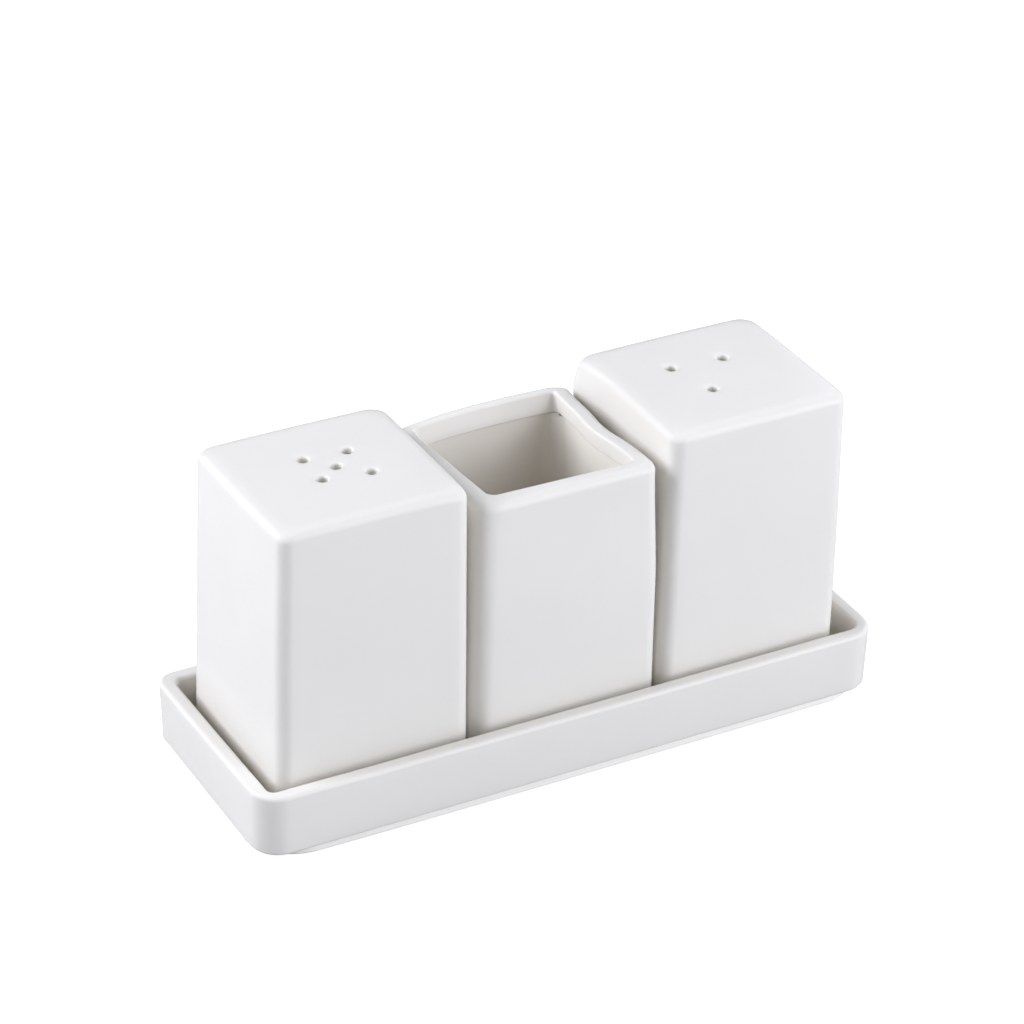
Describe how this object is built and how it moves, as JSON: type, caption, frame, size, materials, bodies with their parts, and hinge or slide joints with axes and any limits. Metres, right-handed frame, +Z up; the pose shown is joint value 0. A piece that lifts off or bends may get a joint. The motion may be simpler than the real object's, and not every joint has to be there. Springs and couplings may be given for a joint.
{
  "type": "salt and pepper shaker set",
  "caption": "White glazed porcelain salt shaker, pepper shaker and open toothpick holder in a row on a rimmed rectangular tray; the pieces lift off.",
  "frame": {"origin": "middle of the tray, on the plane that its foot ring stands on", "axes": "+X along the tray from the salt shaker to the pepper shaker, +Y across it towards the back, +Z up"},
  "size_m": [0.15, 0.054, 0.0741],
  "materials": {
    "porcelain": "soft glossy white glaze, bare foot rings",
    "silicone": "matt translucent white silicone"
  },
  "bodies": {
    "tray": {"tray": "porcelain"},
    "salt_stopper": {"salt_stopper": "silicone"},
    "salt_shaker": {"salt_shaker": "porcelain"},
    "toothpick_holder": {"toothpick_holder": "porcelain"},
    "pepper_stopper": {"pepper_stopper": "silicone"},
    "pepper_shaker": {"pepper_shaker": "porcelain"}
  },
  "joints": [
    {"name": "salt_lift", "type": "slide", "parent": "tray", "child": "salt_stopper", "axis": [0, 0, 1], "range_m": [0, 0.085]},
    {"name": "salt_stopper_pull", "type": "slide", "parent": "salt_stopper", "child": "salt_shaker", "axis": [0, 0, 1], "range_m": [0, 0.025]},
    {"name": "toothpick_holder_lift", "type": "slide", "parent": "tray", "child": "toothpick_holder", "axis": [0, 0, 1], "range_m": [0, 0.085]},
    {"name": "pepper_lift", "type": "slide", "parent": "tray", "child": "pepper_stopper", "axis": [0, 0, 1], "range_m": [0, 0.085]},
    {"name": "pepper_stopper_pull", "type": "slide", "parent": "pepper_stopper", "child": "pepper_shaker", "axis": [0, 0, 1], "range_m": [0, 0.025]}
  ]
}
